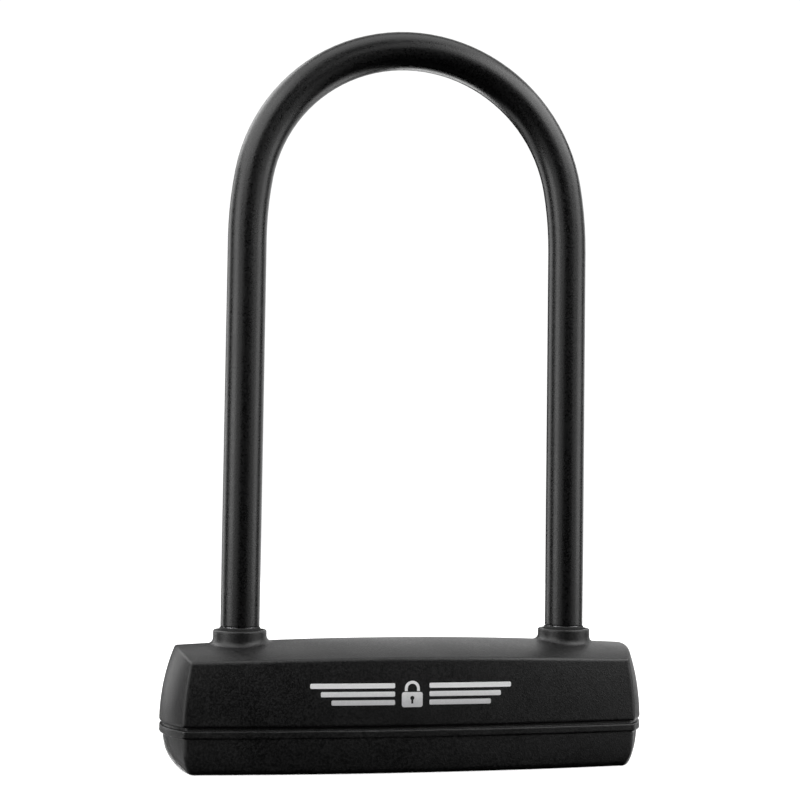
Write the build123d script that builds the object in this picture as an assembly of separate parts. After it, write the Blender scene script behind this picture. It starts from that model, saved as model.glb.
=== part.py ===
from build123d import *
import math
import os

os.makedirs("parts", exist_ok=True)

# Bicycle U-lock with a double deadbolt, shown closed and unlocked. Units are millimetres.
# Origin: centre of the crossbar's flat underside. +X runs along the crossbar, +Z up the legs,
# +Y to the back. Positive turns of the key are counter-clockwise seen from above.

# Shackle
LEG_SPACING = 130.0
BAR_DIAMETER = 14.0
SLEEVE_THICKNESS = 0.55
SPRING_LINE_Z = 203.2
SHOULDER_RADIUS = 147.6
SHOULDER_SWEEP = 10.0
FOOT_Z = 13.9
FOOT_CHAMFER = 1.5
SLEEVE_END_Z = 53.0
SLEEVE_END_RADIUS = 0.25
NOTCH_HEIGHT = 10.0
NOTCH_PAST_AXIS = 0.8

# Crossbar covers
SEAM_Z = 17.7
SEAM_GAP = 1.2
WALL = 2.6
FRONT_BULGE = 5.2
CROWN_Z = 48.3
CROWN_DROP = 3.6
DOME_RADIUS_MIDDLE = 68.5
DOME_RADIUS_END = 42.0
DOME_REACH = 110.0
DOME_HALF_WIDTH = 32.0
DOME_BASE_Z = -5.0
TOP_EDGE_RADIUS = 1.4
SEAM_EDGE_RADIUS = 0.9
BOTTOM_EDGE_RADIUS = 2.6
BEAD_HEIGHT = 2.8
BEAD_RADIUS = 0.35
BEAD_INSET = 0.1
COLLAR_RADIUS = 10.3
COLLAR_RIM_Z = 51.8
COLLAR_FOOT_RADIUS = 2.2
LEG_HOLE_RADIUS = 7.4
COLLAR_RIM_RADIUS = 0.6
SEAL_RADIUS = 8.8
SEAL_BORE = 7.25
SEAL_Z = (48.5, 51.3)
SEAL_NECK_RADIUS = 7.9
SEAL_NECK_Z = 52.8
SEAL_LIP_RADIUS = 0.3
TONGUE_HEIGHT = 2.4
TONGUE_ROOT = 1.5
TONGUE_SIDE_GAP = 0.1
TONGUE_END_GAP = 0.3

# Levels of the covers: height, corner half-length, corner half-depth, end bulge, corner radius
UPPER_LEVELS = [
    (SEAM_Z, 87.4, 21.8, 7.7, 1.7),
    (SEAM_Z + 10.0, 86.8, 21.7, 7.6, 1.7),
    (SEAM_Z + 22.0, 85.3, 21.15, 6.5, 1.7),
    (SEAM_Z + 32.0, 83.0, 20.2, 4.8, 1.7),
]
LOWER_LEVELS = [
    (0.0, 84.3, 20.7, 2.9, 4.0),
    (4.6, 86.2, 21.2, 5.2, 3.0),
    (10.0, 86.6, 21.4, 6.7, 2.2),
    (SEAM_Z - SEAM_GAP, 86.7, 21.45, 7.1, 1.7),
]
SEAM_LEVEL = UPPER_LEVELS[0]

# Steel crossbar core
TUBE_RADIUS = 16.0
TUBE_WALL = 3.0
TUBE_Z = 23.9
TUBE_HALF_LENGTH = 84.0
TUBE_BORE = TUBE_RADIUS - TUBE_WALL
FIT_GAP = 0.05
ROOM_GAP = 0.5
END_CAP_THICKNESS = 4.0
SOCKET_LENGTH = 25.0
SOCKET_BORE = BAR_DIAMETER / 2 + 0.25
SOCKET_FLOOR_Z = FOOT_Z - 0.5

# Cylinder, key end down
HOUSING_RADIUS = 10.0
HOUSING_BORE = 7.55
HOUSING_Z = (4.4, 24.4)
HEAD_RADIUS = 8.5
HEAD_Z = (4.5, 6.1)
PLUG_RADIUS = 7.5
PLUG_TOP_Z = 26.4
SPIGOT_SIDE = 7.0
CHAMBER_RADIUS = 5.8
CHAMBER_Z = (7.4, 23.3)
DISC_RADIUS = 5.7
DISC_THICKNESS = 1.8
DISC_COUNT = 7
SPACER_THICKNESS = 0.45
KEYWAY = (7.0, 2.8)
GATE_HALF_WIDTH = 1.1
FALSE_GATE_TURN = 60.0
FALSE_GATE_STEP = 24.0
FALSE_GATE_SHORTER = 0.7
SPACER_BORE_GAP = 0.3
DRILL_PLATE_RADIUS = 6.6
DRILL_PLATE_THICKNESS = 1.2
CLIP_Z = (24.8, 25.8)
CLIP_RADII = (6.7, 8.75)
CLIP_HALF_MOUTH = 2.0
SIDEBAR_WIDTH = 1.8
SIDEBAR_Z = (8.3, 22.5)
SIDEBAR_REACH = (4.7, 7.3)
SIDEBAR_TRAVEL = 0.9
SIDEBAR_ANGLE = -90.0
SIDEBAR_GAP = 0.2
SIDEBAR_CHAMFER = 0.5
GATE_FLOOR = SIDEBAR_REACH[0] - SIDEBAR_GAP
RETAINING_PIN_RADIUS = 1.5
RETAINING_PIN_PLACE = (-9.5, 18.7)
RETAINING_PIN_GAP = 0.03

# Drive cam and deadbolts
CAM_RADIUS = 8.5
CAM_Z = (PLUG_TOP_Z, 28.9)
CRANK_RADIUS = 5.5
DRIVE_PIN_RADIUS = 1.5
DRIVE_PIN_TOP_Z = 32.5
DRIVE_PIN_CHAMFER = 0.3
SLOT_PLAY = 0.25
BOLT_RADIUS = 4.5
BOLT_TIP_X = 57.5
BOLT_INNER_X = 14.0
BOLT_CHAMFER = 0.6
BRIDGE_LENGTH = 9.0
BRIDGE_HALF_WIDTH = BOLT_RADIUS - 0.5
ARM_LIP = 1.8
ARM_OVERLAP = 1.0
ARM_Z = (29.3, 32.1)
ARM_Y = (0.4, 8.8)
GUIDE_X = (34.0, 46.0)
GUIDE_BORE = BOLT_RADIUS + 0.1
SOCKET_BOLT_BORE = BOLT_RADIUS + 0.3
SOCKET_BOLT_BORE_END = 2.0
CRANK_OFFSET = CRANK_RADIUS * math.cos(math.pi / 4)

# Keyhole and its sliding shutter
PAD_SIZE = (76.0, 30.0)
PAD_TOP_Z = HOUSING_Z[0]
KEYHOLE_RADIUS = 7.5
POCKET_X = (-11.0, 31.5)
POCKET_HALF_WIDTH = 9.5
RAIL_HALF_WIDTH = 11.0
RAIL_Z = (1.3, 2.7)
SHUTTER_LENGTH = 23.0
SHUTTER_GAP = 0.3
SHUTTER_FACE_Z = 0.9
RIDGE_Z = 0.35
RIDGE_COUNT = 4
RIDGE_START = 3.0
RIDGE_PITCH = 2.4
RIDGE_HALF_SIZE = (0.5, 6.0)
RIDGE_ROOT = 0.2

# Cover screws
SCREW_PLACES = [(x, y) for x in (-52.0, 52.0) for y in (-17.9, 17.9)]
SCREW_RADIUS = 1.25
SCREW_HEAD_RADIUS = 2.4
SCREW_HEAD_Z = (6.0, 8.0)
SCREW_TIP_Z = 27.9
SCREW_SLOT_HALF_SIZE = (2.0, 0.4)
SCREW_SLOT_DEPTH = 0.9
SCREW_WELL_GAP = 0.2
LOWER_BOSS_RADIUS = 3.8
UPPER_BOSS_RADIUS = 3.0

# Ribs that cradle the steel core
RIB_THICKNESS = 2.0
UPPER_RIB_X = [-78.0, -40.0, -20.0, 20.0, 40.0, 78.0]
LOWER_RIB_X = [-76.0, -43.0, 43.0, 76.0]
WALL_OVERLAP = 0.5

LEG_X = LEG_SPACING / 2
BAR_RADIUS = BAR_DIAMETER / 2
SLEEVE_RADIUS = BAR_RADIUS + SLEEVE_THICKNESS
BIG = 400.0
PICK = 0.01


def upright(radius, z_low, z_high, x=0.0, y=0.0):
    """Vertical round bar between two heights."""
    low_end = Plane.XY.offset(z_low) * Pos(x, y) * Circle(radius)
    return extrude(low_end, z_high - z_low)


def lying(radius, x_low, x_high, y=0.0, z=TUBE_Z):
    """Round bar along X between two places."""
    return Pos((x_low + x_high) / 2, y, z) * Rot(0, 90, 0) * Cylinder(radius, x_high - x_low)


def block(x_range, y_range, z_range):
    """Box between two corners."""
    size = [high - low for low, high in (x_range, y_range, z_range)]
    middle = [(high + low) / 2 for low, high in (x_range, y_range, z_range)]
    return Pos(*middle) * Box(*size)


def edges_at(solid, axis, place):
    """Edges that lie flat at one place along an axis."""
    return solid.edges().filter_by_position(axis, place - PICK, place + PICK)


def cover_outline(level, inset=0.0):
    """Plan outline of a cover at one height: bowed front, back and ends, rounded corners."""
    z, corner_x, corner_y, end_bulge, corner_radius = level
    x = corner_x - inset
    y = corner_y - inset
    corners = [(-x, -y), (x, -y), (x, y), (-x, y)]
    bows = [(0, -y - FRONT_BULGE), (x + end_bulge, 0), (0, y + FRONT_BULGE), (-x - end_bulge, 0)]
    sides = [ThreePointArc(corners[i], bows[i], corners[(i + 1) % 4]) for i in range(4)]
    outline = make_face(Curve() + sides)
    return Pos(0, 0, z) * fillet(outline.vertices(), max(corner_radius - inset / 2, 0.8))


def cover_body(levels, inset=0.0):
    """Solid through the outlines of one cover."""
    return loft([cover_outline(level, inset) for level in levels])


def dome(lower_by=0.0):
    """Everything below the crossbar's crowned top."""
    sections = []
    for x in (-DOME_REACH, 0.0, DOME_REACH):
        share = (x / DOME_REACH) ** 2
        crown = CROWN_Z - lower_by - CROWN_DROP * share
        radius = DOME_RADIUS_MIDDLE + (DOME_RADIUS_END - DOME_RADIUS_MIDDLE) * share
        edge = crown - radius + math.sqrt(radius**2 - DOME_HALF_WIDTH**2)
        low_left = (-DOME_HALF_WIDTH, DOME_BASE_Z)
        low_right = (DOME_HALF_WIDTH, DOME_BASE_Z)
        top_left = (-DOME_HALF_WIDTH, edge)
        top_right = (DOME_HALF_WIDTH, edge)
        outline = Polyline(top_left, low_left, low_right, top_right)
        outline += ThreePointArc(top_right, (0, crown), top_left)
        sections.append(Plane.YZ.offset(x) * make_face(outline))
    return loft(sections)


def tube_room():
    """Space taken by the steel core and its clearance."""
    half_length = TUBE_HALF_LENGTH + ROOM_GAP
    return lying(TUBE_RADIUS + FIT_GAP, -half_length, half_length)


def upper_outside():
    """Outer form of the upper cover, with its top and seam edges rounded."""
    body = cover_body(UPPER_LEVELS) & dome()
    top_edges = [
        edge
        for edge in body.edges()
        if edge.center().Z > SEAM_Z + 15 and edge.bounding_box().size.Z < 8
    ]
    body = fillet(top_edges, TOP_EDGE_RADIUS)
    return fillet(edges_at(body, Axis.Z, SEAM_Z), SEAM_EDGE_RADIUS)


def add_collars(outside):
    """Round collars where the legs enter, blended into the crown."""
    for side in (-1, 1):
        outside += upright(COLLAR_RADIUS, SEAM_Z + 20, COLLAR_RIM_Z, side * LEG_X)
    feet = [
        edge
        for edge in outside.edges().filter_by(GeomType.BSPLINE)
        if abs(abs(edge.bounding_box().center().X) - LEG_X) < 1
        and edge.bounding_box().size.X < 2.1 * COLLAR_RADIUS
    ]
    outside = fillet(feet, COLLAR_FOOT_RADIUS)
    return fillet(edges_at(outside, Axis.Z, COLLAR_RIM_Z), COLLAR_RIM_RADIUS)


def ribs(places, z_range, inside):
    """Thin cross walls that follow the cover's inside and cradle the steel core."""
    walls = [block((x - RIB_THICKNESS / 2, x + RIB_THICKNESS / 2), (-BIG, BIG), z_range) for x in places]
    return [(wall & inside) - tube_room() for wall in walls]


def upper_cover():
    """Top shell of the crossbar with the two leg collars."""
    outside = add_collars(upper_outside())
    cover = outside - (cover_body(UPPER_LEVELS, WALL) & dome(WALL))
    rebate_height = SEAM_GAP + TONGUE_HEIGHT
    cover -= extrude(cover_outline(SEAM_LEVEL, WALL / 2 - TONGUE_SIDE_GAP), rebate_height)
    root = WALL - WALL_OVERLAP
    inside = cover_body(UPPER_LEVELS, root) & dome(root)
    for rib in ribs(UPPER_RIB_X, (SEAM_Z + rebate_height + ROOM_GAP, BIG), inside):
        cover += rib
    for x, y in SCREW_PLACES:
        cover += (upright(UPPER_BOSS_RADIUS, SEAM_Z, BIG, x, y) & inside) - tube_room()
    for x, y in SCREW_PLACES:
        cover -= upright(SCREW_RADIUS, SEAM_Z - 1, SCREW_TIP_Z, x, y)
    for side in (-1, 1):
        cover -= upright(LEG_HOLE_RADIUS, SEAM_Z, BIG, side * LEG_X)
        cover -= upright(SEAL_RADIUS, SEAL_Z[0], BIG, side * LEG_X)
    return cover


def lower_cover():
    """Bottom shell: bead under the seam, keyhole pad, shutter pocket and screw wells."""
    z_top = LOWER_LEVELS[-1][0]
    body = cover_body(LOWER_LEVELS)
    body = fillet(edges_at(body, Axis.Z, 0), BOTTOM_EDGE_RADIUS)
    bead_foot = Pos(0, 0, z_top - BEAD_HEIGHT - SEAM_Z)
    bead = extrude(bead_foot * cover_outline(SEAM_LEVEL, BEAD_INSET), BEAD_HEIGHT)
    body += fillet(bead.edges().filter_by(GeomType.LINE, reverse=True), BEAD_RADIUS)
    hollow = cover_body(LOWER_LEVELS, WALL) & block((-BIG, BIG), (-BIG, BIG), (WALL, BIG))
    cover = body - hollow
    root = WALL - WALL_OVERLAP
    rib_top = z_top - ROOM_GAP
    inside = cover_body(LOWER_LEVELS, root)
    for rib in ribs(LOWER_RIB_X, (root, rib_top), inside):
        cover += rib
    pad_x, pad_y = PAD_SIZE
    cover += block((-pad_x / 2, pad_x / 2), (-pad_y / 2, pad_y / 2), (root, PAD_TOP_Z))
    for x, y in SCREW_PLACES:
        cover += (upright(LOWER_BOSS_RADIUS, root, rib_top, x, y) & inside) - tube_room()
    tongue_foot = Pos(0, 0, z_top - SEAM_Z - TONGUE_ROOT)
    tongue_reach = TONGUE_ROOT + SEAM_GAP + TONGUE_HEIGHT - TONGUE_END_GAP
    tongue = extrude(tongue_foot * cover_outline(SEAM_LEVEL, WALL / 2), tongue_reach)
    cover += tongue - extrude(tongue_foot * cover_outline(SEAM_LEVEL, WALL), tongue_reach)
    for x, y in SCREW_PLACES:
        cover -= upright(SCREW_HEAD_RADIUS + SCREW_WELL_GAP, -1, SCREW_HEAD_Z[1], x, y)
        cover -= upright(SCREW_RADIUS, 0, BIG, x, y)
    cover -= upright(KEYHOLE_RADIUS, 0, PAD_TOP_Z + 1)
    cover -= block(POCKET_X, (-POCKET_HALF_WIDTH, POCKET_HALF_WIDTH), (-1, RAIL_Z[1]))
    cover -= block(POCKET_X, (-RAIL_HALF_WIDTH, RAIL_HALF_WIDTH), RAIL_Z)
    return cover


def cover_screws():
    """Four pan-head screws that hold the covers together from below."""
    screws = []
    for x, y in SCREW_PLACES:
        head = upright(SCREW_HEAD_RADIUS, *SCREW_HEAD_Z, x, y)
        half_x, half_y = SCREW_SLOT_HALF_SIZE
        slot_z = (SCREW_HEAD_Z[0], SCREW_HEAD_Z[0] + SCREW_SLOT_DEPTH)
        slot = block((x - half_x, x + half_x), (y - half_y, y + half_y), slot_z)
        screws.append(head + upright(SCREW_RADIUS, SCREW_HEAD_Z[1], SCREW_TIP_Z, x, y) - slot)
    return Compound(screws)


def collar_seal(side):
    """Rubber ring sunk in a collar, with a neck that rises to the sleeve's end."""
    ring = upright(SEAL_RADIUS, *SEAL_Z, side * LEG_X)
    ring += upright(SEAL_NECK_RADIUS, SEAL_Z[0], SEAL_NECK_Z, side * LEG_X)
    ring = fillet(edges_at(ring, Axis.Z, SEAL_NECK_Z), SEAL_LIP_RADIUS)
    return ring - upright(SEAL_BORE, 0, BIG, side * LEG_X)


def crossbar_tube():
    """Hardened steel tube with holes for the legs, the cylinder and its pin."""
    tube = lying(TUBE_RADIUS, -TUBE_HALF_LENGTH, TUBE_HALF_LENGTH)
    tube -= lying(TUBE_BORE, -BIG, BIG)
    for side in (-1, 1):
        tube -= upright(LEG_HOLE_RADIUS, TUBE_Z, BIG, side * LEG_X)
    tube -= upright(HOUSING_RADIUS + FIT_GAP, 0, TUBE_Z)
    return tube - pin_room()


def end_cap(side):
    """Disc welded into one end of the tube."""
    inner = TUBE_HALF_LENGTH - END_CAP_THICKNESS
    ends = sorted((side * inner, side * TUBE_HALF_LENGTH))
    return lying(TUBE_BORE - FIT_GAP, *ends)


def foot_socket(side):
    """Cast plug in the tube, bored for a leg from above and for its bolt from the middle."""
    socket = lying(TUBE_BORE - FIT_GAP, LEG_X - SOCKET_LENGTH / 2, LEG_X + SOCKET_LENGTH / 2)
    socket -= upright(SOCKET_BORE, SOCKET_FLOOR_Z, BIG, LEG_X)
    socket -= lying(SOCKET_BOLT_BORE, 0, LEG_X + SOCKET_BOLT_BORE_END)
    return socket if side > 0 else mirror(socket, Plane.YZ)


def bolt_guide(side):
    """Bushing in the tube that carries one deadbolt."""
    guide = lying(TUBE_BORE - FIT_GAP, *GUIDE_X) - lying(GUIDE_BORE, 0, BIG)
    return guide if side > 0 else mirror(guide, Plane.YZ)


def pin_room():
    """Round hole across the tube that pins the cylinder housing."""
    x, z = RETAINING_PIN_PLACE
    return Pos(x, 0, z) * Rot(90, 0, 0) * Cylinder(RETAINING_PIN_RADIUS + RETAINING_PIN_GAP, BIG)


def cylinder_retaining_pin():
    """Cross pin that keeps the housing in the tube."""
    x, z = RETAINING_PIN_PLACE
    reach = math.sqrt(TUBE_RADIUS**2 - (TUBE_Z - z + RETAINING_PIN_RADIUS) ** 2)
    return Pos(x, 0, z) * Rot(90, 0, 0) * Cylinder(RETAINING_PIN_RADIUS, 2 * reach)


def sidebar_room(angle, reach):
    """Slot for the sidebar, pointing away from the cylinder's axis at an angle."""
    half = (SIDEBAR_WIDTH + SIDEBAR_GAP) / 2
    z_low, z_high = SIDEBAR_Z
    return Rot(0, 0, angle) * block((0, reach), (-half, half), (z_low - SIDEBAR_GAP, z_high + SIDEBAR_GAP))


def cylinder_housing():
    """Fixed sleeve of the lock cylinder, grooved for the sidebar at both ends of the key's turn."""
    housing = upright(HOUSING_RADIUS, *HOUSING_Z) - upright(HOUSING_BORE, 0, BIG)
    housing -= upright(HEAD_RADIUS + 0.1, 0, HEAD_Z[1] + SHUTTER_GAP)
    for angle in (SIDEBAR_ANGLE, SIDEBAR_ANGLE + 90):
        housing -= sidebar_room(angle, SIDEBAR_REACH[1] + SIDEBAR_TRAVEL + SIDEBAR_GAP)
    return housing - pin_room()


def keyway(z_low, z_high):
    """Slot that the key passes through."""
    half_x, half_y = KEYWAY[0] / 2, KEYWAY[1] / 2
    return block((-half_x, half_x), (-half_y, half_y), (z_low, z_high))


def spigot():
    """Square end that drives the cam, its flats facing the drive pins."""
    half = SPIGOT_SIDE / 2
    return Rot(0, 0, 45) * block((-half, half), (-half, half), CAM_Z)


def cylinder_plug():
    """Barrel that turns with the key and holds the disc pack."""
    plug = upright(HEAD_RADIUS, *HEAD_Z) + upright(PLUG_RADIUS, HEAD_Z[1], PLUG_TOP_Z)
    plug += spigot()
    plug -= upright(CHAMBER_RADIUS, *CHAMBER_Z)
    plug -= upright(DRILL_PLATE_RADIUS, 0, HEAD_Z[0] + DRILL_PLATE_THICKNESS)
    plug -= keyway(0, CHAMBER_Z[0])
    plug -= upright(BIG, *CLIP_Z) - upright(CLIP_RADII[0], 0, BIG)
    return plug - sidebar_room(SIDEBAR_ANGLE, PLUG_RADIUS + 1)


def anti_drill_plate():
    """Hardened disc in the plug's face, cut for the key."""
    z_low = HEAD_Z[0]
    plate = upright(DRILL_PLATE_RADIUS, z_low, z_low + DRILL_PLATE_THICKNESS)
    return plate - keyway(0, BIG)


def gate(angle, floor):
    """Notch in a disc's rim, open outwards from its floor, at an angle about the cylinder."""
    notch = block((floor, BIG), (-GATE_HALF_WIDTH, GATE_HALF_WIDTH), (0, BIG))
    return Rot(0, 0, angle) * notch


def disc_pitch_z(index):
    """Underside of a detainer disc in the stack."""
    return CHAMBER_Z[0] + 0.1 + index * (DISC_THICKNESS + SPACER_THICKNESS)


def detainer_disc(index):
    """Disc with its true gate at the sidebar and a shallow false gate elsewhere."""
    z_low = disc_pitch_z(index)
    disc = upright(DISC_RADIUS, z_low, z_low + DISC_THICKNESS) - keyway(0, BIG)
    false_gate_angle = SIDEBAR_ANGLE + FALSE_GATE_TURN + FALSE_GATE_STEP * index
    return disc - gate(SIDEBAR_ANGLE, GATE_FLOOR) - gate(false_gate_angle, GATE_FLOOR + FALSE_GATE_SHORTER)


def disc_spacer(index):
    """Thin washer between two detainer discs."""
    z_low = disc_pitch_z(index) + DISC_THICKNESS
    spacer = upright(DISC_RADIUS, z_low, z_low + SPACER_THICKNESS)
    spacer -= upright(KEYWAY[0] / 2 + SPACER_BORE_GAP, 0, BIG)
    return spacer - gate(SIDEBAR_ANGLE, GATE_FLOOR)


def sidebar():
    """Bar that falls into the disc gates and lets the plug turn."""
    half = SIDEBAR_WIDTH / 2
    bar = block(SIDEBAR_REACH, (-half, half), SIDEBAR_Z)
    nose = bar.edges().filter_by(Axis.Z).sort_by(Axis.X)[-2:]
    return Rot(0, 0, SIDEBAR_ANGLE) * chamfer(nose, SIDEBAR_CHAMFER)


def plug_clip():
    """Open ring that keeps the plug in its housing."""
    clip = upright(CLIP_RADII[1], *CLIP_Z) - upright(CLIP_RADII[0], 0, BIG)
    return clip - block((0, BIG), (-CLIP_HALF_MOUTH, CLIP_HALF_MOUTH), CLIP_Z)


def drive_cam():
    """Disc on the plug's square end, drilled for the two drive pins."""
    cam = upright(CAM_RADIUS, *CAM_Z) - spigot()
    for side in (-1, 1):
        cam -= upright(DRIVE_PIN_RADIUS, 0, BIG, side * CRANK_OFFSET, side * CRANK_OFFSET)
    return cam


def drive_pin(side):
    """Pin that pushes one deadbolt's arm."""
    pin = upright(DRIVE_PIN_RADIUS, CAM_Z[0], DRIVE_PIN_TOP_Z, side * CRANK_OFFSET, side * CRANK_OFFSET)
    return chamfer(edges_at(pin, Axis.Z, DRIVE_PIN_TOP_Z), DRIVE_PIN_CHAMFER)


def left_bolt():
    """Deadbolt with a slotted arm over the cam."""
    rod = lying(BOLT_RADIUS, -BOLT_TIP_X, -BOLT_INNER_X)
    bolt = chamfer(edges_at(rod, Axis.X, -BOLT_TIP_X), BOLT_CHAMFER)
    slot_half = DRIVE_PIN_RADIUS + SLOT_PLAY
    arm_end = CRANK_OFFSET + slot_half + ARM_LIP
    bridge = (-BOLT_INNER_X - BRIDGE_LENGTH, -BOLT_INNER_X)
    bolt += block(bridge, (-BRIDGE_HALF_WIDTH, BRIDGE_HALF_WIDTH), (TUBE_Z, ARM_Z[1]))
    bolt += block(bridge, (-BRIDGE_HALF_WIDTH, ARM_Y[1]), ARM_Z)
    bolt += block((-BOLT_INNER_X - ARM_OVERLAP, arm_end), ARM_Y, ARM_Z)
    slot_x = (CRANK_OFFSET - slot_half, CRANK_OFFSET + slot_half)
    slot_y = (CRANK_OFFSET - slot_half, CRANK_RADIUS + slot_half)
    return bolt - block(slot_x, slot_y, (0, BIG))


def right_bolt():
    """The same deadbolt turned half round."""
    return Rot(0, 0, 180) * left_bolt()


def keyhole_shutter():
    """Dust shutter that slides along the underside, with finger ridges."""
    x_low = POCKET_X[0] + SHUTTER_GAP
    x_high = x_low + SHUTTER_LENGTH
    half = POCKET_HALF_WIDTH - SHUTTER_GAP
    rail_half = RAIL_HALF_WIDTH - SHUTTER_GAP
    rail_z = (RAIL_Z[0] + SHUTTER_GAP, RAIL_Z[1] - SHUTTER_GAP)
    shutter = block((x_low, x_high), (-half, half), (SHUTTER_FACE_Z, rail_z[1]))
    shutter += block((x_low, x_high), (-rail_half, rail_half), rail_z)
    half_x, half_y = RIDGE_HALF_SIZE
    for step in range(RIDGE_COUNT):
        x = x_low + RIDGE_START + RIDGE_PITCH * step
        shutter += block((x - half_x, x + half_x), (-half_y, half_y), (RIDGE_Z, SHUTTER_FACE_Z + RIDGE_ROOT))
    return shutter


def across(point):
    """The same point on the right-hand side."""
    return Vector(-point.X, point.Y, point.Z)


def shackle_path():
    """Centre line of the U: straight legs, shallow shoulders and a round crown."""
    sweep_angle = math.radians(SHOULDER_SWEEP)
    shoulder_x = LEG_X - SHOULDER_RADIUS * (1 - math.cos(sweep_angle))
    shoulder_z = SPRING_LINE_Z + SHOULDER_RADIUS * math.sin(sweep_angle)
    crown_radius = shoulder_x / math.cos(sweep_angle)
    crown_top = shoulder_z - shoulder_x * math.tan(sweep_angle) + crown_radius
    half_angle = sweep_angle / 2
    middle_x = LEG_X - SHOULDER_RADIUS * (1 - math.cos(half_angle))
    middle_z = SPRING_LINE_Z + SHOULDER_RADIUS * math.sin(half_angle)
    spring = Vector(-LEG_X, 0, SPRING_LINE_Z)
    shoulder = Vector(-shoulder_x, 0, shoulder_z)
    middle = Vector(-middle_x, 0, middle_z)
    return [
        Line((-LEG_X, 0, FOOT_Z), spring),
        ThreePointArc(spring, middle, shoulder),
        ThreePointArc(shoulder, (0, 0, crown_top), across(shoulder)),
        ThreePointArc(across(shoulder), across(middle), across(spring)),
        Line(across(spring), (LEG_X, 0, FOOT_Z)),
    ]


def bent_bar(radius):
    """Round bar swept along the whole U."""
    foot = Plane.XY.offset(FOOT_Z) * Pos(-LEG_X, 0) * Circle(radius)
    return sweep(foot, Curve() + shackle_path())


def shackle_bar():
    """Hardened U bar with a notch for a deadbolt at the inside of each foot."""
    bar = bent_bar(BAR_RADIUS)
    bar = chamfer(edges_at(bar, Axis.Z, FOOT_Z), FOOT_CHAMFER)
    notch_x = (0, LEG_X + NOTCH_PAST_AXIS)
    notch = block(notch_x, (-BIG, BIG), (TUBE_Z - NOTCH_HEIGHT / 2, TUBE_Z + NOTCH_HEIGHT / 2))
    return bar - notch - mirror(notch, Plane.YZ)


def shackle_sleeve():
    """Vinyl sleeve over the exposed bar."""
    below = block((-BIG, BIG), (-BIG, BIG), (-BIG, SLEEVE_END_Z))
    sleeve = bent_bar(SLEEVE_RADIUS) - bent_bar(BAR_RADIUS) - below
    ends = edges_at(sleeve, Axis.Z, SLEEVE_END_Z).filter_by(lambda edge: edge.radius > BAR_RADIUS + PICK)
    return fillet(ends, SLEEVE_END_RADIUS)


PARTS = {
    "upper_cover": upper_cover,
    "lower_cover": lower_cover,
    "cover_screws": cover_screws,
    "crossbar_tube": crossbar_tube,
    "cylinder_housing": cylinder_housing,
    "cylinder_retaining_pin": cylinder_retaining_pin,
    "cylinder_plug": cylinder_plug,
    "anti_drill_plate": anti_drill_plate,
    "sidebar": sidebar,
    "plug_clip": plug_clip,
    "drive_cam": drive_cam,
    "left_bolt": left_bolt,
    "right_bolt": right_bolt,
    "keyhole_shutter": keyhole_shutter,
    "shackle_bar": shackle_bar,
    "shackle_sleeve": shackle_sleeve,
}
PAIRED_PARTS = {
    "collar_seal": collar_seal,
    "tube_end_cap": end_cap,
    "foot_socket": foot_socket,
    "bolt_guide": bolt_guide,
    "drive_pin": drive_pin,
}

for name, make in PARTS.items():
    export_step(make(), f"parts/{name}.step")
for name, make in PAIRED_PARTS.items():
    export_step(make(-1), f"parts/left_{name}.step")
    export_step(make(1), f"parts/right_{name}.step")
for index in range(DISC_COUNT):
    export_step(detainer_disc(index), f"parts/detainer_disc_{index + 1}.step")
for index in range(DISC_COUNT - 1):
    export_step(disc_spacer(index), f"parts/disc_spacer_{index + 1}.step")
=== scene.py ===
import math

import bmesh
import bpy
from mathutils import Matrix, Vector
from mathutils.bvhtree import BVHTree


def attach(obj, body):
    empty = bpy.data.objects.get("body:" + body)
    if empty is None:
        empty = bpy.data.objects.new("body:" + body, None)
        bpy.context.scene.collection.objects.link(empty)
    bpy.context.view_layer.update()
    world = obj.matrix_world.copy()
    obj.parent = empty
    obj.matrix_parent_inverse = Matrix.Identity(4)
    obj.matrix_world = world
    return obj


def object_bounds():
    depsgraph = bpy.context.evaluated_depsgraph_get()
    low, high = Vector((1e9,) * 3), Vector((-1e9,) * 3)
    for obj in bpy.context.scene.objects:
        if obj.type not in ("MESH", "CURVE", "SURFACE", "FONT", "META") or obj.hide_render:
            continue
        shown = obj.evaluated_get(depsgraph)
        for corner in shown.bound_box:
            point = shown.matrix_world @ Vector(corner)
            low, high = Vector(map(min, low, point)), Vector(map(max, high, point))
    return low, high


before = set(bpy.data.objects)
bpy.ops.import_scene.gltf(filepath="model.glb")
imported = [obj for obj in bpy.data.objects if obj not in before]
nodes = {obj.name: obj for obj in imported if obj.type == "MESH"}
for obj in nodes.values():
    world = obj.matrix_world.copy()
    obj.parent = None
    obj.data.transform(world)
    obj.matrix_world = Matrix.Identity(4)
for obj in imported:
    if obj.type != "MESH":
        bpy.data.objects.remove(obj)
cad_low, cad_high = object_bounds()
scene = bpy.context.scene
MM = 0.001

# Camera: place in metres, angles in radians, lens and sensor in millimetres
CAMERA_PLACE = (-0.1316, -0.6193, 0.1093)
CAMERA_YAW = 0.2042
CAMERA_PITCH = 0.0512
CAMERA_ROLL = 0.0140
CAMERA_LENS = 72.05
CAMERA_SENSOR = 36.0

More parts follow.
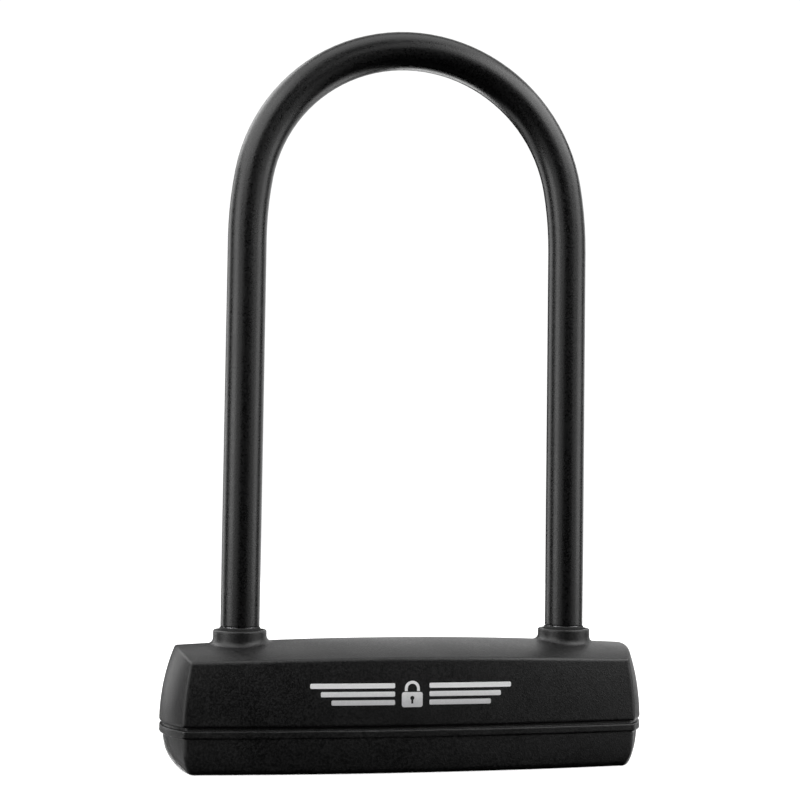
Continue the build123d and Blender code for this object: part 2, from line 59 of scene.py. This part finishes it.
# Generic mark printed on the crossbar's front: a padlock between two stacks of bars
MARK_X = -2.6 * MM
MARK_Z = 29.9 * MM
MARK_PROUD = 0.06 * MM
MARK_SUNK = 0.04 * MM
MARK_SLICE = 2.0 * MM
PADLOCK_WIDTH = 8.0 * MM
PADLOCK_BODY_HEIGHT = 5.6 * MM
PADLOCK_TOTAL_HEIGHT = 9.8 * MM
BAR_LENGTHS = (32.0 * MM, 28.0 * MM, 24.0 * MM)
BAR_HEIGHT = 1.9 * MM
BAR_PITCH = 3.1 * MM
BAR_START = 6.6 * MM
BAR_CORNER = 0.5 * MM
PADLOCK_CORNER = 0.9 * MM
ARCH_SIZE = 0.72
ARCH_THICKNESS = 1.1 * MM
ARCH_GAP = 0.35 * MM
KEYHOLE_HEIGHT = 0.6
KEYHOLE_RADIUS = 0.8 * MM
KEYHOLE_SLOT_HALF_WIDTH = 0.4 * MM
KEYHOLE_SLOT_FOOT = 1.3 * MM
RAY_START = 0.01

# Moulded plastic: the radius that softens its edges, and the one along which they are rubbed
SOFT_EDGE_RADIUS = 0.9 * MM
RUBBED_EDGE_RADIUS = 0.6 * MM
EDGE_TURN = (0.99, 0.85)

# Floor: painted shade and light, a glow that is dimmer near the object and brighter far from it, and the
# distances in metres between which it changes
FLOOR_PAINTED_GLOW_NEAR = 0.88
FLOOR_PAINTED_GLOW_FAR = 1.05
FLOOR_PAINTED_GLOW_FADE = (0.2, 0.8)
FLOOR_RADIUS = 9.0
FLOOR_DROP = 0.2 * MM
SURROUND_RADIUS = 10.0
SURROUND_GLOW = 1.05
LIGHT_DISTANCE = 1.1


def make_camera():
    """Camera slightly left of the middle, low, and turned towards the object."""
    forward = Vector((
        math.sin(CAMERA_YAW) * math.cos(CAMERA_PITCH),
        math.cos(CAMERA_YAW) * math.cos(CAMERA_PITCH),
        math.sin(CAMERA_PITCH),
    ))
    right = Vector((math.cos(CAMERA_YAW), -math.sin(CAMERA_YAW), 0))
    up = right.cross(forward)
    turned_right = right * math.cos(CAMERA_ROLL) + up * math.sin(CAMERA_ROLL)
    turned_up = up * math.cos(CAMERA_ROLL) - right * math.sin(CAMERA_ROLL)
    turn = Matrix((turned_right, turned_up, -forward)).transposed().to_4x4()
    data = bpy.data.cameras.new("camera")
    data.lens = CAMERA_LENS
    data.sensor_width = CAMERA_SENSOR
    data.clip_start = 0.01
    data.clip_end = 40
    camera = bpy.data.objects.new("camera", data)
    camera.matrix_world = Matrix.Translation(CAMERA_PLACE) @ turn
    scene.collection.objects.link(camera)
    scene.camera = camera


# Materials


class Material:
    """A node material with short calls for its pieces."""

    def __init__(self, name, **values):
        self.name = name
        self.data = bpy.data.materials.new(name)
        self.data.use_nodes = True
        self.tree = self.data.node_tree
        self.shader = self.tree.nodes["Principled BSDF"]
        for key, value in values.items():
            self.shader.inputs[key.replace("_", " ")].default_value = value

    def node(self, kind, inputs=None, **settings):
        made = self.tree.nodes.new(kind)
        for key, value in settings.items():
            setattr(made, key, value)
        for key, value in (inputs or {}).items():
            if isinstance(value, bpy.types.NodeSocket):
                self.tree.links.new(value, made.inputs[key])
            else:
                made.inputs[key].default_value = value
        return made

    def link(self, socket, target):
        self.tree.links.new(socket, self.shader.inputs[target])

    def place(self, stretch=(1, 1, 1)):
        """Place on the object, in metres, stretched along the axes."""
        spot = self.node("ShaderNodeTexCoord").outputs["Object"]
        return self.node("ShaderNodeMapping", {"Vector": spot, "Scale": stretch}).outputs["Vector"]

    def noise(self, scale, detail=2.0, roughness=0.5, stretch=(1, 1, 1)):
        inputs = {"Vector": self.place(stretch), "Scale": scale, "Detail": detail, "Roughness": roughness}
        return self.node("ShaderNodeTexNoise", inputs).outputs["Fac"]

    def pebbles(self, scale):
        inputs = {"Vector": self.place(), "Scale": scale}
        return self.node("ShaderNodeTexVoronoi", inputs).outputs["Distance"]

    def waves(self, kind, direction, scale, distortion):
        """Even ridges: straight bands or rings about an axis."""
        inputs = {"Vector": self.place(), "Scale": scale, "Distortion": distortion, "Detail": 2.0}
        settings = {"wave_type": kind, f"{kind.lower()}_direction": direction}
        return self.node("ShaderNodeTexWave", inputs, **settings).outputs["Fac"]

    def ramp(self, value, low, high, out_low, out_high):
        inputs = {
            "Value": value,
            "From Min": low,
            "From Max": high,
            "To Min": out_low,
            "To Max": out_high,
        }
        return self.node("ShaderNodeMapRange", inputs, clamp=True).outputs["Result"]

    def blend(self, value, first, second):
        """Colour between two, by a value from 0 to 1."""
        inputs = {"Factor": value}
        for side, colour in (("A", first), ("B", second)):
            inputs[side] = colour if isinstance(colour, bpy.types.NodeSocket) else (*colour, 1)
        mix = self.node("ShaderNodeMix", data_type="RGBA")
        sockets = {"Factor": mix.inputs[0], "A": mix.inputs[6], "B": mix.inputs[7]}
        for key, value_in in inputs.items():
            if isinstance(value_in, bpy.types.NodeSocket):
                self.tree.links.new(value_in, sockets[key])
            else:
                sockets[key].default_value = value_in
        return mix.outputs[2]

    def edges(self, radius):
        """0 on open faces, 1 along outer edges that turn within the radius."""
        rounded = self.node("ShaderNodeBevel", {"Radius": radius}, samples=6).outputs["Normal"]
        true = self.node("ShaderNodeNewGeometry").outputs["Normal"]
        turn = self.node("ShaderNodeVectorMath", {0: rounded, 1: true}, operation="DOT_PRODUCT")
        return self.ramp(turn.outputs["Value"], *EDGE_TURN, 0.0, 1.0)

    def bump(self, height, distance, strength=1.0, below=None):
        inputs = {"Height": height, "Distance": distance, "Strength": strength}
        if below is not None:
            inputs["Normal"] = below
        return self.node("ShaderNodeBump", inputs).outputs["Normal"]


def moulded_plastic(name, dark, light, worn, rough, grain_scale, grain_depth):
    """Satin moulded plastic: pebbled grain, mottling, uneven gloss, soft and rubbed edges."""
    m = Material(name, Specular_IOR_Level=0.5)
    rough_low, rough_high = rough
    mottle = m.noise(grain_scale * 0.62, 3.0, 0.6)
    grain = m.noise(grain_scale, 2.0, 0.5)
    rubbed = m.edges(RUBBED_EDGE_RADIUS)
    colour = m.blend(m.ramp(mottle, 0.42, 0.6, 0.0, 1.0), dark, light)
    patchy = m.ramp(m.noise(160.0, 3.0, 0.6), 0.45, 0.75, 0.0, 1.0)
    wear = m.node("ShaderNodeMath", {0: rubbed, 1: patchy}, operation="MULTIPLY").outputs["Value"]
    m.link(m.blend(wear, colour, worn), "Base Color")
    gloss = m.ramp(m.noise(55.0, 3.0, 0.55), 0.3, 0.7, rough_low, rough_high)
    grained = m.ramp(mottle, 0.35, 0.65, -0.06, 0.06)
    m.link(m.node("ShaderNodeMath", {0: gloss, 1: grained}, operation="ADD").outputs["Value"], "Roughness")
    softened = m.node("ShaderNodeBevel", {"Radius": SOFT_EDGE_RADIUS}, samples=8).outputs["Normal"]
    coarse = m.bump(m.pebbles(grain_scale), grain_depth, 1.0, softened)
    m.link(m.bump(grain, grain_depth * 0.6, 1.0, coarse), "Normal")
    return m


def rubber(name, dark, light):
    """Dull rubber with a chalky bloom."""
    m = Material(name)
    m.link(m.blend(m.ramp(m.noise(700.0, 4.0), 0.35, 0.7, 0.0, 1.0), dark, light), "Base Color")
    m.link(m.ramp(m.noise(200.0), 0.3, 0.7, 0.62, 0.8), "Roughness")
    m.link(m.bump(m.noise(2500.0, 3.0), 0.02 * MM), "Normal")
    return m


def worked_metal(name, dark, light, rough, marks, depth):
    """Bare or plated metal with tool marks, faint stains and uneven gloss."""
    m = Material(name, Metallic=1.0)
    marks = marks(m)
    stain = m.ramp(m.noise(120.0, 4.0, 0.6), 0.35, 0.7, 0.0, 1.0)
    m.link(m.blend(stain, dark, light), "Base Color")
    gloss = m.ramp(stain, 0.0, 1.0, *rough)
    streak = m.ramp(marks, 0.2, 0.8, -0.05, 0.05)
    m.link(m.node("ShaderNodeMath", {0: gloss, 1: streak}, operation="ADD").outputs["Value"], "Roughness")
    m.link(m.bump(marks, depth), "Normal")
    return m


def turned_across_z(m):
    return m.waves("BANDS", "Z", 900.0, 0.6)


def turned_across_x(m):
    return m.waves("BANDS", "X", 900.0, 0.6)


def turned_face(m):
    return m.waves("RINGS", "Z", 1200.0, 0.4)


def drawn_along_x(m):
    return m.noise(900.0, 4.0, 0.6, (0.02, 1, 1))


def drawn_along_z(m):
    return m.noise(900.0, 4.0, 0.6, (1, 1, 0.02))


def cast_skin(m):
    return m.noise(1400.0, 5.0, 0.65)


def stamped_skin(m):
    return m.noise(2200.0, 3.0, 0.5)


def printed_ink(name, white, grey):
    """Pad-printed ink: a white face shading to grey, with the plastic's grain telegraphing through."""
    m = Material(name, Specular_IOR_Level=0.4)
    height = m.node("ShaderNodeSeparateXYZ", {"Vector": m.place()}).outputs["Z"]
    shade = m.ramp(height, MARK_Z - BAR_PITCH * 1.2, MARK_Z + BAR_PITCH * 0.6, 1.0, 0.0)
    speckle = m.ramp(m.noise(1500.0, 3.0), 0.3, 0.7, -0.12, 0.12)
    uneven = m.node("ShaderNodeMath", {0: shade, 1: speckle}, operation="ADD", use_clamp=True)
    m.link(m.blend(uneven.outputs["Value"], white, grey), "Base Color")
    m.link(m.ramp(m.noise(300.0), 0.3, 0.7, 0.42, 0.55), "Roughness")
    m.link(m.bump(m.noise(1500.0), 0.015 * MM), "Normal")
    return m


def make_materials():
    """One material for each of the record's slots."""
    steel_dark, steel_light = (0.36, 0.36, 0.37), (0.5, 0.5, 0.51)
    tube_dark, tube_light = (0.25, 0.26, 0.29), (0.4, 0.41, 0.44)
    bolt_dark, bolt_light = (0.48, 0.48, 0.49), (0.6, 0.6, 0.61)
    blued_dark, blued_light = (0.05, 0.07, 0.13), (0.13, 0.11, 0.16)
    zinc_dark, zinc_light = (0.5, 0.51, 0.53), (0.66, 0.66, 0.64)
    brass_dark, brass_light = (0.46, 0.32, 0.12), (0.66, 0.49, 0.22)
    made = [
        moulded_plastic(
            "cover_plastic", (0.0012, 0.0012, 0.0013), (0.0095, 0.0095, 0.0097), (0.013, 0.013, 0.0135),
            (0.38, 0.46), 2100.0, 0.05 * MM
        ),
        moulded_plastic(
            "shutter_plastic", (0.007, 0.007, 0.0075), (0.011, 0.011, 0.0115), (0.03, 0.03, 0.03),
            (0.3, 0.38), 1800.0, 0.03 * MM
        ),
        moulded_plastic(
            "sleeve_vinyl", (0.0015, 0.0015, 0.0016), (0.005, 0.005, 0.0052), (0.012, 0.012, 0.0125),
            (0.28, 0.34), 2100.0, 0.022 * MM
        ),
        rubber("seal_rubber", (0.006, 0.006, 0.006), (0.014, 0.014, 0.014)),
        worked_metal("hardened_steel", steel_dark, steel_light, (0.24, 0.36), drawn_along_z, 0.01 * MM),
        worked_metal("tube_steel", tube_dark, tube_light, (0.34, 0.48), drawn_along_x, 0.02 * MM),
        worked_metal("cast_metal", (0.3, 0.3, 0.31), (0.42, 0.42, 0.43), (0.45, 0.6), cast_skin, 0.04 * MM),
        worked_metal("bolt_steel", bolt_dark, bolt_light, (0.2, 0.32), turned_across_x, 0.008 * MM),
        worked_metal("spring_steel", blued_dark, blued_light, (0.25, 0.4), stamped_skin, 0.01 * MM),
        worked_metal("screw_zinc", zinc_dark, zinc_light, (0.25, 0.4), turned_across_z, 0.008 * MM),
        worked_metal("cylinder_brass", brass_dark, brass_light, (0.24, 0.38), turned_face, 0.012 * MM),
        worked_metal("disc_brass", brass_dark, brass_light, (0.3, 0.45), stamped_skin, 0.01 * MM),
    ]
    return {m.name: m for m in made}


def assign_materials(materials):
    """Gives each CAD node the material of its slot."""
    for name, node in nodes.items():
        slot = node.data.materials[0].name
        node.data.materials.clear()
        node.data.materials.append(materials[slot].data)


# Mark


def arc(middle, radius, start, end, steps=16):
    """Points on an arc, angles in degrees."""
    angles = [math.radians(start + (end - start) * i / steps) for i in range(steps + 1)]
    return [(middle[0] + radius * math.cos(a), middle[1] + radius * math.sin(a)) for a in angles]


def rounded_box(low, high, radius):
    """Outline of a rectangle with round corners."""
    inner_low = (low[0] + radius, low[1] + radius)
    inner_high = (high[0] - radius, high[1] - radius)
    points = arc(inner_high, radius, 0, 90, 6)
    points += arc((inner_low[0], inner_high[1]), radius, 90, 180, 6)
    points += arc(inner_low, radius, 180, 270, 6)
    points += arc((inner_high[0], inner_low[1]), radius, 270, 360, 6)
    return points


def padlock_outlines():
    """Padlock body with a keyhole, and its arch, as separate flat shapes."""
    half = PADLOCK_WIDTH / 2
    low = -PADLOCK_TOTAL_HEIGHT / 2
    body_top = low + PADLOCK_BODY_HEIGHT
    body = rounded_box((-half, low), (half, body_top), PADLOCK_CORNER)
    eye = (0.0, low + PADLOCK_BODY_HEIGHT * KEYHOLE_HEIGHT)
    keyhole = arc(eye, KEYHOLE_RADIUS, -60, 240, 14)
    slot_foot = low + KEYHOLE_SLOT_FOOT
    keyhole += [(-KEYHOLE_SLOT_HALF_WIDTH, slot_foot), (KEYHOLE_SLOT_HALF_WIDTH, slot_foot)]
    outer = half * ARCH_SIZE
    inner = outer - ARCH_THICKNESS
    crown = (0.0, PADLOCK_TOTAL_HEIGHT / 2 - outer)
    foot = body_top + ARCH_GAP
    arch = [(outer, foot)] + arc(crown, outer, 0, 180) + [(-outer, foot), (-inner, foot)]
    arch += arc(crown, inner, 180, 0) + [(inner, foot)]
    return [[body, keyhole], [arch]]


def bar_outlines():
    """Three level bars each side of the padlock, the lowest the shortest."""
    shapes = []
    for side in (-1, 1):
        for step, length in enumerate(BAR_LENGTHS):
            z = (1 - step) * BAR_PITCH
            ends = sorted((side * BAR_START, side * (BAR_START + length)))
            low = (ends[0], z - BAR_HEIGHT / 2)
            high = (ends[1], z + BAR_HEIGHT / 2)
            shapes.append([rounded_box(low, high, BAR_CORNER)])
    return shapes


def flat_shape(outlines):
    """Flat faces inside the first outline and outside the others."""
    shape = bmesh.new()
    for outline in outlines:
        corners = [shape.verts.new((MARK_X + x, 0, MARK_Z + z)) for x, z in outline]
        for here, there in zip(corners, corners[1:] + corners[:1]):
            shape.edges.new((here, there))
    bmesh.ops.triangle_fill(shape, edges=shape.edges[:], use_beauty=True, normal=(0, -1, 0))
    return shape


def slice_up(shape, axis):
    """Cuts a flat shape across an axis at even steps, so that it can bend."""
    places = [v.co.dot(axis) for v in shape.verts]
    at = min(places) + MARK_SLICE
    while at < max(places):
        geometry = shape.verts[:] + shape.edges[:] + shape.faces[:]
        bmesh.ops.bisect_plane(shape, geom=geometry, dist=1e-7, plane_co=axis * at, plane_no=axis)
        at += MARK_SLICE


def lay_on_front(shape, surface):
    """Wraps a flat shape on the surface seen from the front and gives it a thickness."""
    lifted = bmesh.ops.extrude_face_region(shape, geom=shape.faces[:])["geom"]
    front = {element for element in lifted if isinstance(element, bmesh.types.BMVert)}
    for corner in shape.verts:
        start = Vector((corner.co.x, cad_low.y - RAY_START, corner.co.z))
        spot, normal, _, _ = surface.ray_cast(start, Vector((0, 1, 0)))
        corner.co = spot + normal * (MARK_PROUD if corner in front else -MARK_SUNK)
    bmesh.ops.recalc_face_normals(shape, faces=shape.faces[:])


def make_mark():
    """Generic printed mark on the upper cover's front."""
    cover = bmesh.new()
    cover.from_mesh(nodes["upper_cover"].data)
    surface = BVHTree.FromBMesh(cover)
    cover.free()
    mesh = bpy.data.meshes.new("front_mark")
    for outlines in padlock_outlines() + bar_outlines():
        shape = flat_shape(outlines)
        slice_up(shape, Vector((1, 0, 0)))
        slice_up(shape, Vector((0, 0, 1)))
        lay_on_front(shape, surface)
        shape.from_mesh(mesh)
        shape.to_mesh(mesh)
        shape.free()
    mark = bpy.data.objects.new("front_mark", mesh)
    scene.collection.objects.link(mark)
    ink = printed_ink("mark_ink", (0.93, 0.93, 0.93), (0.6, 0.6, 0.61))
    mesh.materials.append(ink.data)
    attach(mark, "crossbar")


# Stage


def glowing(name, glow, colour=(0, 0, 0, 1)):
    """Matt stage surface with a light of its own."""
    m = Material(name, Base_Color=colour, Roughness=1.0, Specular_IOR_Level=0.0)
    m.shader.inputs["Emission Color"].default_value = (1, 1, 1, 1)
    m.shader.inputs["Emission Strength"].default_value = glow
    return m


def add_stage(name, shape, material):
    """Adds a stage object that only the camera sees."""
    mesh = bpy.data.meshes.new(name)
    shape.to_mesh(mesh)
    shape.free()
    mesh.materials.append(material.data)
    piece = bpy.data.objects.new(name, mesh)
    scene.collection.objects.link(piece)
    piece.visible_glossy = False
    piece.visible_diffuse = False
    piece.visible_transmission = False
    return piece


def make_stage():
    """White floor that takes a faint shadow near the object and has painted shade and light, its glow
    dimmer near the object and brighter far from it, under a plain white surround.
    """
    floor = bmesh.new()
    bmesh.ops.create_circle(floor, cap_ends=True, radius=FLOOR_RADIUS, segments=96)
    white = glowing("floor_white_painted_glow", FLOOR_PAINTED_GLOW_NEAR, (0.5, 0.5, 0.5, 1))
    # Painted shade and light: the glow rises with distance from the object, dimming the floor near it and
    # brightening it far off.
    distance = white.node("ShaderNodeVectorMath", {0: white.place()}, operation="LENGTH").outputs["Value"]
    white.link(white.ramp(distance, *FLOOR_PAINTED_GLOW_FADE, FLOOR_PAINTED_GLOW_NEAR, FLOOR_PAINTED_GLOW_FAR), "Emission Strength")
    floor_piece = add_stage("floor", floor, white)
    floor_piece.location.z = -FLOOR_DROP
    surround = bmesh.new()
    bmesh.ops.create_uvsphere(surround, u_segments=48, v_segments=24, radius=SURROUND_RADIUS)
    surround_piece = add_stage("surround", surround, glowing("surround_white", SURROUND_GLOW))
    surround_piece.visible_shadow = False
    world = bpy.data.worlds.new("dim_room")
    world.use_nodes = True
    world.node_tree.nodes["Background"].inputs["Strength"].default_value = 0.0
    scene.world = world


def panel(name, azimuth, elevation, width, height, power):
    """Soft rectangular light facing the object; azimuth 0 is the front, positive to the right."""
    a, e = math.radians(azimuth), math.radians(elevation)
    away = Vector((math.sin(a) * math.cos(e), -math.cos(a) * math.cos(e), math.sin(e)))
    middle = (cad_low + cad_high) / 2
    data = bpy.data.lights.new(name, "AREA")
    data.shape = "RECTANGLE"
    data.size = width
    data.size_y = height
    data.energy = power
    light = bpy.data.objects.new(name, data)
    light.location = middle + away * LIGHT_DISTANCE
    light.rotation_mode = "QUATERNION"
    light.rotation_quaternion = away.to_track_quat("Z", "Y")
    light.visible_camera = False
    scene.collection.objects.link(light)


def make_lights():
    """Left and right softboxes, weak front panels, a top light, and fill from behind and below."""
    panel("left_panel", -75, 5, 0.6, 0.7, 4.2)
    panel("left_front_panel", -45, 5, 0.6, 0.7, 1.1)
    panel("left_high_panel", -68, 40, 1.4, 0.6, 7.4)
    panel("right_panel", 75, 5, 0.6, 0.7, 3.2)
    panel("right_front_panel", 45, 5, 0.6, 0.7, 1.0)
    panel("right_high_panel", 65, 40, 1.4, 0.6, 10.2)
    panel("front_high_panel", 20, 28, 0.6, 0.3, 0.6)
    panel("top_panel", 0, 86, 1.6, 0.9, 7.5)
    panel("back_left_panel", -135, 5, 0.6, 0.7, 2.8)
    panel("back_left_high_panel", -135, 40, 0.7, 0.6, 3.7)
    panel("back_right_panel", 145, 5, 1.2, 0.7, 3.0)
    panel("back_high_panel", 175, 38, 1.8, 0.6, 3.6)
    panel("low_left_panel", -120, -30, 0.7, 0.5, 1.7)
    panel("low_right_panel", 120, -30, 0.7, 0.5, 2.7)
    panel("low_back_panel", 180, -30, 0.7, 0.5, 5.4)


make_camera()
assign_materials(make_materials())
make_mark()
make_stage()
make_lights()
scene.view_settings.view_transform = "Standard"
